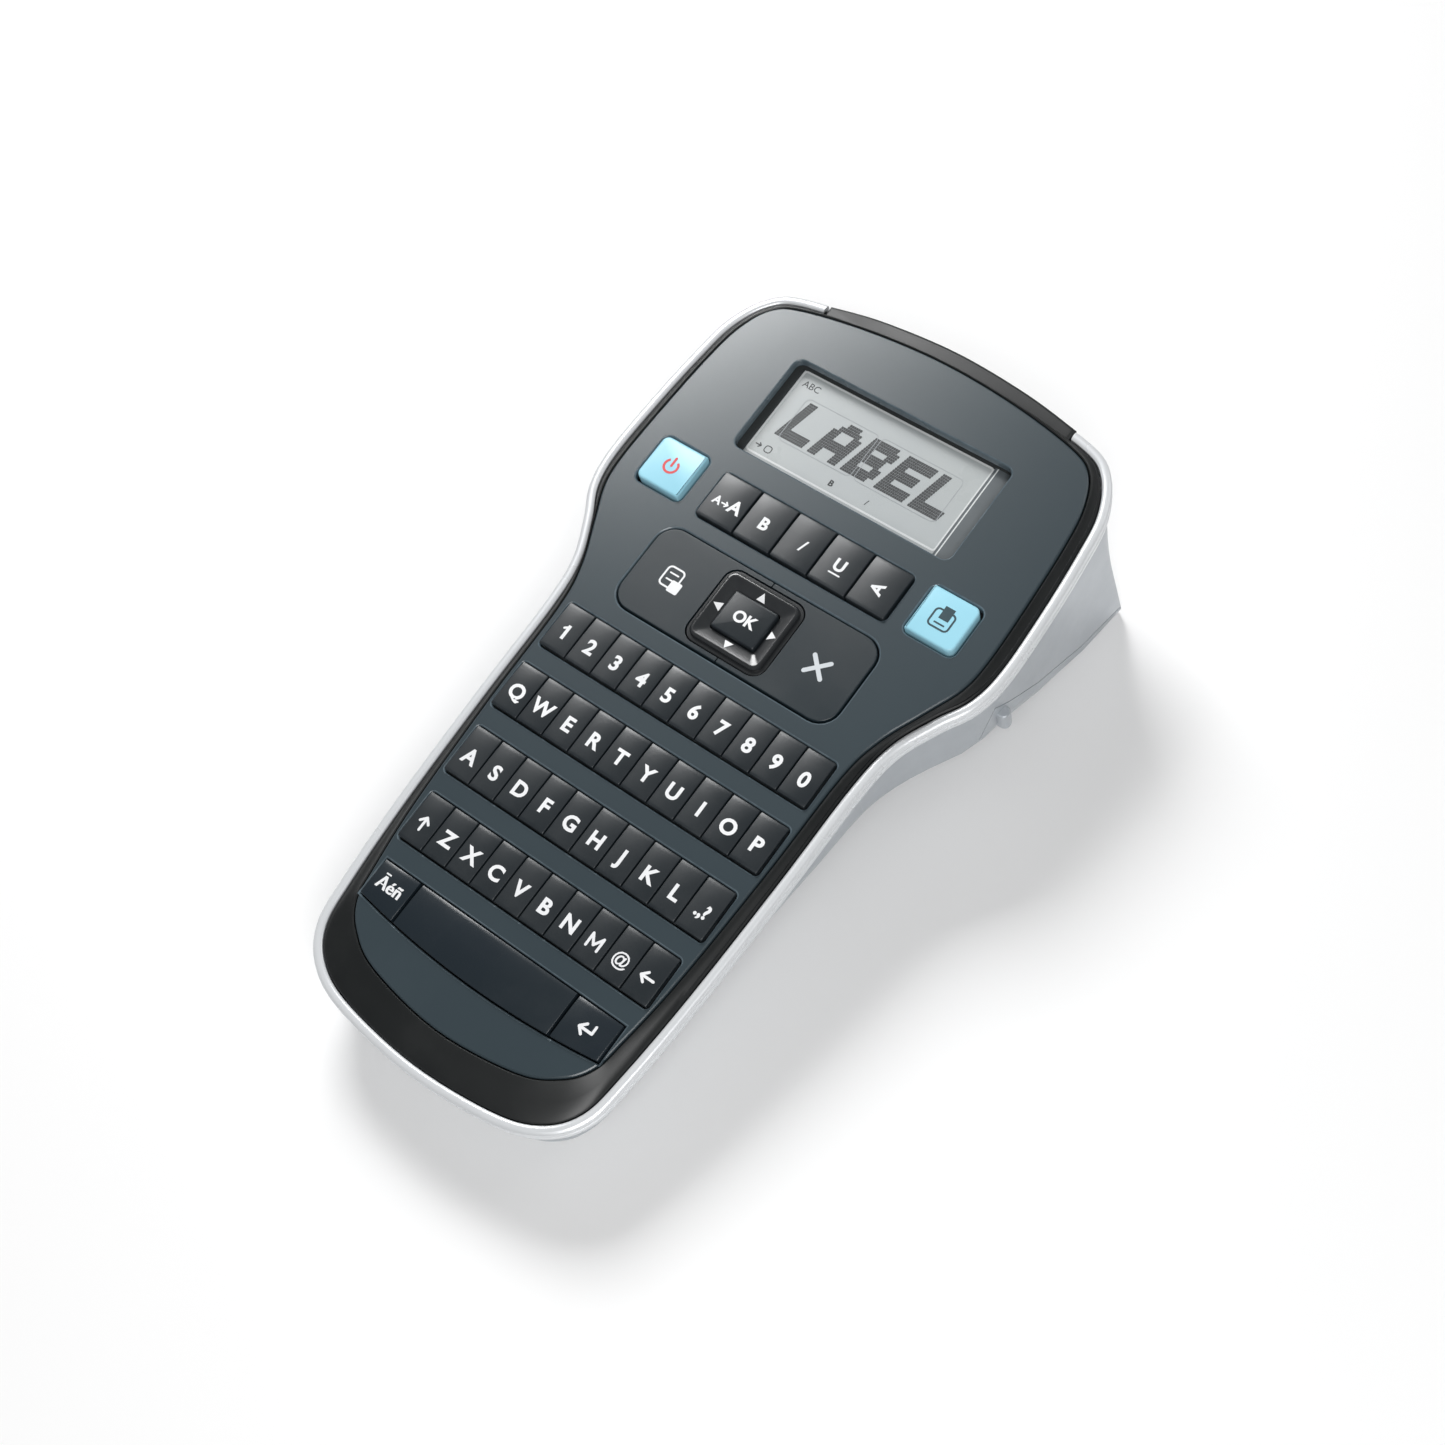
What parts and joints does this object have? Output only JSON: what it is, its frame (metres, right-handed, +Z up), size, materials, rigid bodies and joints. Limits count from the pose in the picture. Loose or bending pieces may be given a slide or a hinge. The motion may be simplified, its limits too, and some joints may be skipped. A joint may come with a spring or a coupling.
{
  "type": "label maker",
  "caption": "Hand-held label maker with letter keys, display, navigation ring, push-bar cutter, tape bay and battery door.",
  "frame": {"origin": "centre of the bounding box, on the plane that its rest pads stand on", "axes": "+X to the user's right, +Y from the grip towards the display and label exit, +Z up from the table; the face leans back by 8.3 degrees"},
  "size_m": [0.1142, 0.206, 0.0504],
  "materials": {
    "face_plate": "semi-gloss moulded plastic with a fine grain",
    "trim_plastic": "satin black moulding",
    "silver_plastic": "satin silver paint over plastic",
    "key_rubber": "moulded rubber keys with printed legends",
    "button_plastic": "light cyan moulding",
    "contact_rubber": "silicone sheet",
    "window_plastic": "clear window",
    "display_glass": "reflective liquid crystal panel",
    "circuit_board": "green solder mask",
    "steel": "bare steel",
    "brass": "bare brass",
    "cell_jacket": "printed film over steel",
    "gear_plastic": "natural acetal",
    "roller_rubber": "ground rubber",
    "chassis_plastic": "glass filled nylon",
    "head_ceramic": "thermal print head",
    "cassette_plastic": "moulded cassette",
    "label_film": "label stock"
  },
  "bodies": {
    "housing": {"battery_cell_1": "cell_jacket", "battery_cell_2": "cell_jacket", "battery_cell_3": "cell_jacket", "battery_cell_4": "cell_jacket", "battery_cell_5": "cell_jacket", "battery_cell_6": "cell_jacket", "battery_tray": "trim_plastic", "case_screw_1": "steel", "case_screw_2": "steel", "case_screw_3": "steel", "case_screw_4": "steel", "case_screw_5": "steel", "cassette_shell": "cassette_plastic", "contact_strip_lower": "steel", "contact_strip_upper": "steel", "display_window": "window_plastic", "front_cover": "face_plate", "keypad_mat": "contact_rubber", "label_tape": "label_film", "lcd_frame": "trim_plastic", "lcd_panel": "display_glass", "main_board": "circuit_board", "mechanism_chassis": "chassis_plastic", "motor": "steel", "power_jack": "trim_plastic", "rear_housing": "silver_plastic", "trim_band": "trim_plastic"},
    "cassette_cover": {"cassette_cover": "silver_plastic"},
    "battery_cover": {"battery_cover": "silver_plastic"},
    "cutter_bar": {"cutter_bar": "trim_plastic"},
    "cutter": {"cutter_carriage": "chassis_plastic", "cutter_blade": "steel"},
    "platen": {"platen_gear": "gear_plastic", "platen_roller": "roller_rubber"},
    "idler": {"idler_gear": "gear_plastic"},
    "motor_shaft": {"motor_pinion": "brass"},
    "ribbon_drive": {"ribbon_spindle": "gear_plastic", "ribbon_spool": "contact_rubber"},
    "print_head_arm": {"head_arm": "steel", "print_head": "head_ceramic"},
    "tape_supply": {"tape_roll": "label_film"},
    "key_row_digits": {"key_row_digits": "key_rubber"},
    "key_row_upper": {"key_row_upper": "key_rubber"},
    "key_row_middle": {"key_row_middle": "key_rubber"},
    "key_row_lower": {"key_row_lower": "key_rubber"},
    "accent_key": {"accent_key": "key_rubber"},
    "space_bar": {"space_bar": "key_rubber"},
    "return_key": {"return_key": "key_rubber"},
    "size_key": {"size_key": "key_rubber"},
    "bold_key": {"bold_key": "key_rubber"},
    "italic_key": {"italic_key": "key_rubber"},
    "underline_key": {"underline_key": "key_rubber"},
    "rotate_key": {"rotate_key": "key_rubber"},
    "format_menu_key": {"format_menu_key": "key_rubber"},
    "cancel_key": {"cancel_key": "key_rubber"},
    "nav_ring": {"nav_ring": "key_rubber"},
    "ok_button": {"ok_button": "key_rubber"},
    "power_button": {"power_button": "button_plastic"},
    "print_button": {"print_button": "button_plastic"}
  },
  "joints": [
    {"name": "key_row_digits_press", "type": "slide", "parent": "housing", "child": "key_row_digits", "axis": [0, 0.1443, -0.9895], "range_m": [0, 0.001], "stiffness_N_per_m": 600},
    {"name": "key_row_upper_press", "type": "slide", "parent": "housing", "child": "key_row_upper", "axis": [0, 0.1443, -0.9895], "range_m": [0, 0.001], "stiffness_N_per_m": 600},
    {"name": "key_row_middle_press", "type": "slide", "parent": "housing", "child": "key_row_middle", "axis": [0, 0.1443, -0.9895], "range_m": [0, 0.001], "stiffness_N_per_m": 600},
    {"name": "key_row_lower_press", "type": "slide", "parent": "housing", "child": "key_row_lower", "axis": [0, 0.1443, -0.9895], "range_m": [0, 0.001], "stiffness_N_per_m": 600},
    {"name": "accent_key_press", "type": "slide", "parent": "housing", "child": "accent_key", "axis": [0, 0.1443, -0.9895], "range_m": [0, 0.001], "stiffness_N_per_m": 350},
    {"name": "space_bar_press", "type": "slide", "parent": "housing", "child": "space_bar", "axis": [0, 0.1443, -0.9895], "range_m": [0, 0.001], "stiffness_N_per_m": 350},
    {"name": "return_key_press", "type": "slide", "parent": "housing", "child": "return_key", "axis": [0, 0.1443, -0.9895], "range_m": [0, 0.001], "stiffness_N_per_m": 350},
    {"name": "size_key_press", "type": "slide", "parent": "housing", "child": "size_key", "axis": [0, 0.1443, -0.9895], "range_m": [0, 0.001], "stiffness_N_per_m": 350},
    {"name": "bold_key_press", "type": "slide", "parent": "housing", "child": "bold_key", "axis": [0, 0.1443, -0.9895], "range_m": [0, 0.001], "stiffness_N_per_m": 350},
    {"name": "italic_key_press", "type": "slide", "parent": "housing", "child": "italic_key", "axis": [0, 0.1443, -0.9895], "range_m": [0, 0.001], "stiffness_N_per_m": 350},
    {"name": "underline_key_press", "type": "slide", "parent": "housing", "child": "underline_key", "axis": [0, 0.1443, -0.9895], "range_m": [0, 0.001], "stiffness_N_per_m": 350},
    {"name": "rotate_key_press", "type": "slide", "parent": "housing", "child": "rotate_key", "axis": [0, 0.1443, -0.9895], "range_m": [0, 0.001], "stiffness_N_per_m": 350},
    {"name": "format_menu_key_press", "type": "slide", "parent": "housing", "child": "format_menu_key", "axis": [0, 0.1443, -0.9895], "range_m": [0, 0.0008], "stiffness_N_per_m": 350},
    {"name": "cancel_key_press", "type": "slide", "parent": "housing", "child": "cancel_key", "axis": [0, 0.1443, -0.9895], "range_m": [0, 0.0008], "stiffness_N_per_m": 350},
    {"name": "nav_ring_press", "type": "slide", "parent": "housing", "child": "nav_ring", "axis": [0, 0.1443, -0.9895], "range_m": [0, 0.0008], "stiffness_N_per_m": 350},
    {"name": "ok_button_press", "type": "slide", "parent": "housing", "child": "ok_button", "axis": [0, 0.1443, -0.9895], "range_m": [0, 0.0008], "stiffness_N_per_m": 350},
    {"name": "power_button_press", "type": "slide", "parent": "housing", "child": "power_button", "axis": [0, 0.1443, -0.9895], "range_m": [0, 0.0008], "stiffness_N_per_m": 350},
    {"name": "print_button_press", "type": "slide", "parent": "housing", "child": "print_button", "axis": [0, 0.1443, -0.9895], "range_m": [0, 0.0008], "stiffness_N_per_m": 350},
    {"name": "cutter_bar_press", "type": "slide", "parent": "housing", "child": "cutter_bar", "axis": [0, -0.9895, -0.1443], "range_m": [0, 0.003], "stiffness_N_per_m": 600},
    {"name": "cutter_blade_stroke", "type": "slide", "parent": "housing", "child": "cutter", "axis": [1, 0, 0], "range_m": [0, 0.0036]},
    {"name": "cassette_cover_hinge", "type": "hinge", "parent": "housing", "child": "cassette_cover", "pos_m": [0, 0.09149, 0.00024], "axis": [1, 0, 0], "range_deg": [0, 100]},
    {"name": "battery_cover_hinge", "type": "hinge", "parent": "housing", "child": "battery_cover", "pos_m": [0, -0.01914, 0.00771], "axis": [1, 0, 0], "range_deg": [0, 80]},
    {"name": "platen_spin", "type": "hinge", "parent": "housing", "child": "platen", "pos_m": [0.01749, 0.074, 0.0271], "axis": [0, -0.1443, 0.9895], "continuous": true},
    {"name": "idler_spin", "type": "hinge", "parent": "housing", "child": "idler", "pos_m": [0.03049, 0.06115, 0.03503], "axis": [0, -0.1443, 0.9895], "continuous": true},
    {"name": "motor_spin", "type": "hinge", "parent": "housing", "child": "motor_shaft", "pos_m": [0.0378, 0.05175, 0.03366], "axis": [0, -0.1443, 0.9895], "continuous": true},
    {"name": "ribbon_spin", "type": "hinge", "parent": "housing", "child": "ribbon_drive", "pos_m": [0.00229, 0.07052, 0.0266], "axis": [0, -0.1443, 0.9895], "continuous": true},
    {"name": "tape_roll_spin", "type": "hinge", "parent": "housing", "child": "tape_supply", "pos_m": [-0.0125, 0.06235, 0.02338], "axis": [0, -0.1443, 0.9895], "continuous": true},
    {"name": "head_release", "type": "hinge", "parent": "housing", "child": "print_head_arm", "pos_m": [0.0102, 0.06166, 0.0253], "axis": [0, -0.1443, 0.9895], "range_deg": [0, 6]}
  ],
  "couplings": [
    {"joint": "cutter_blade_stroke", "follows": "cutter_bar_press", "ratio": 1.2},
    {"joint": "idler_spin", "follows": "platen_spin", "ratio": -0.93333},
    {"joint": "motor_spin", "follows": "platen_spin", "ratio": 2.8},
    {"joint": "ribbon_spin", "follows": "platen_spin", "ratio": -1.1667},
    {"joint": "tape_roll_spin", "follows": "platen_spin", "ratio": -0.26667},
    {"joint": "head_release", "follows": "cassette_cover_hinge", "ratio": 0.06}
  ]
}
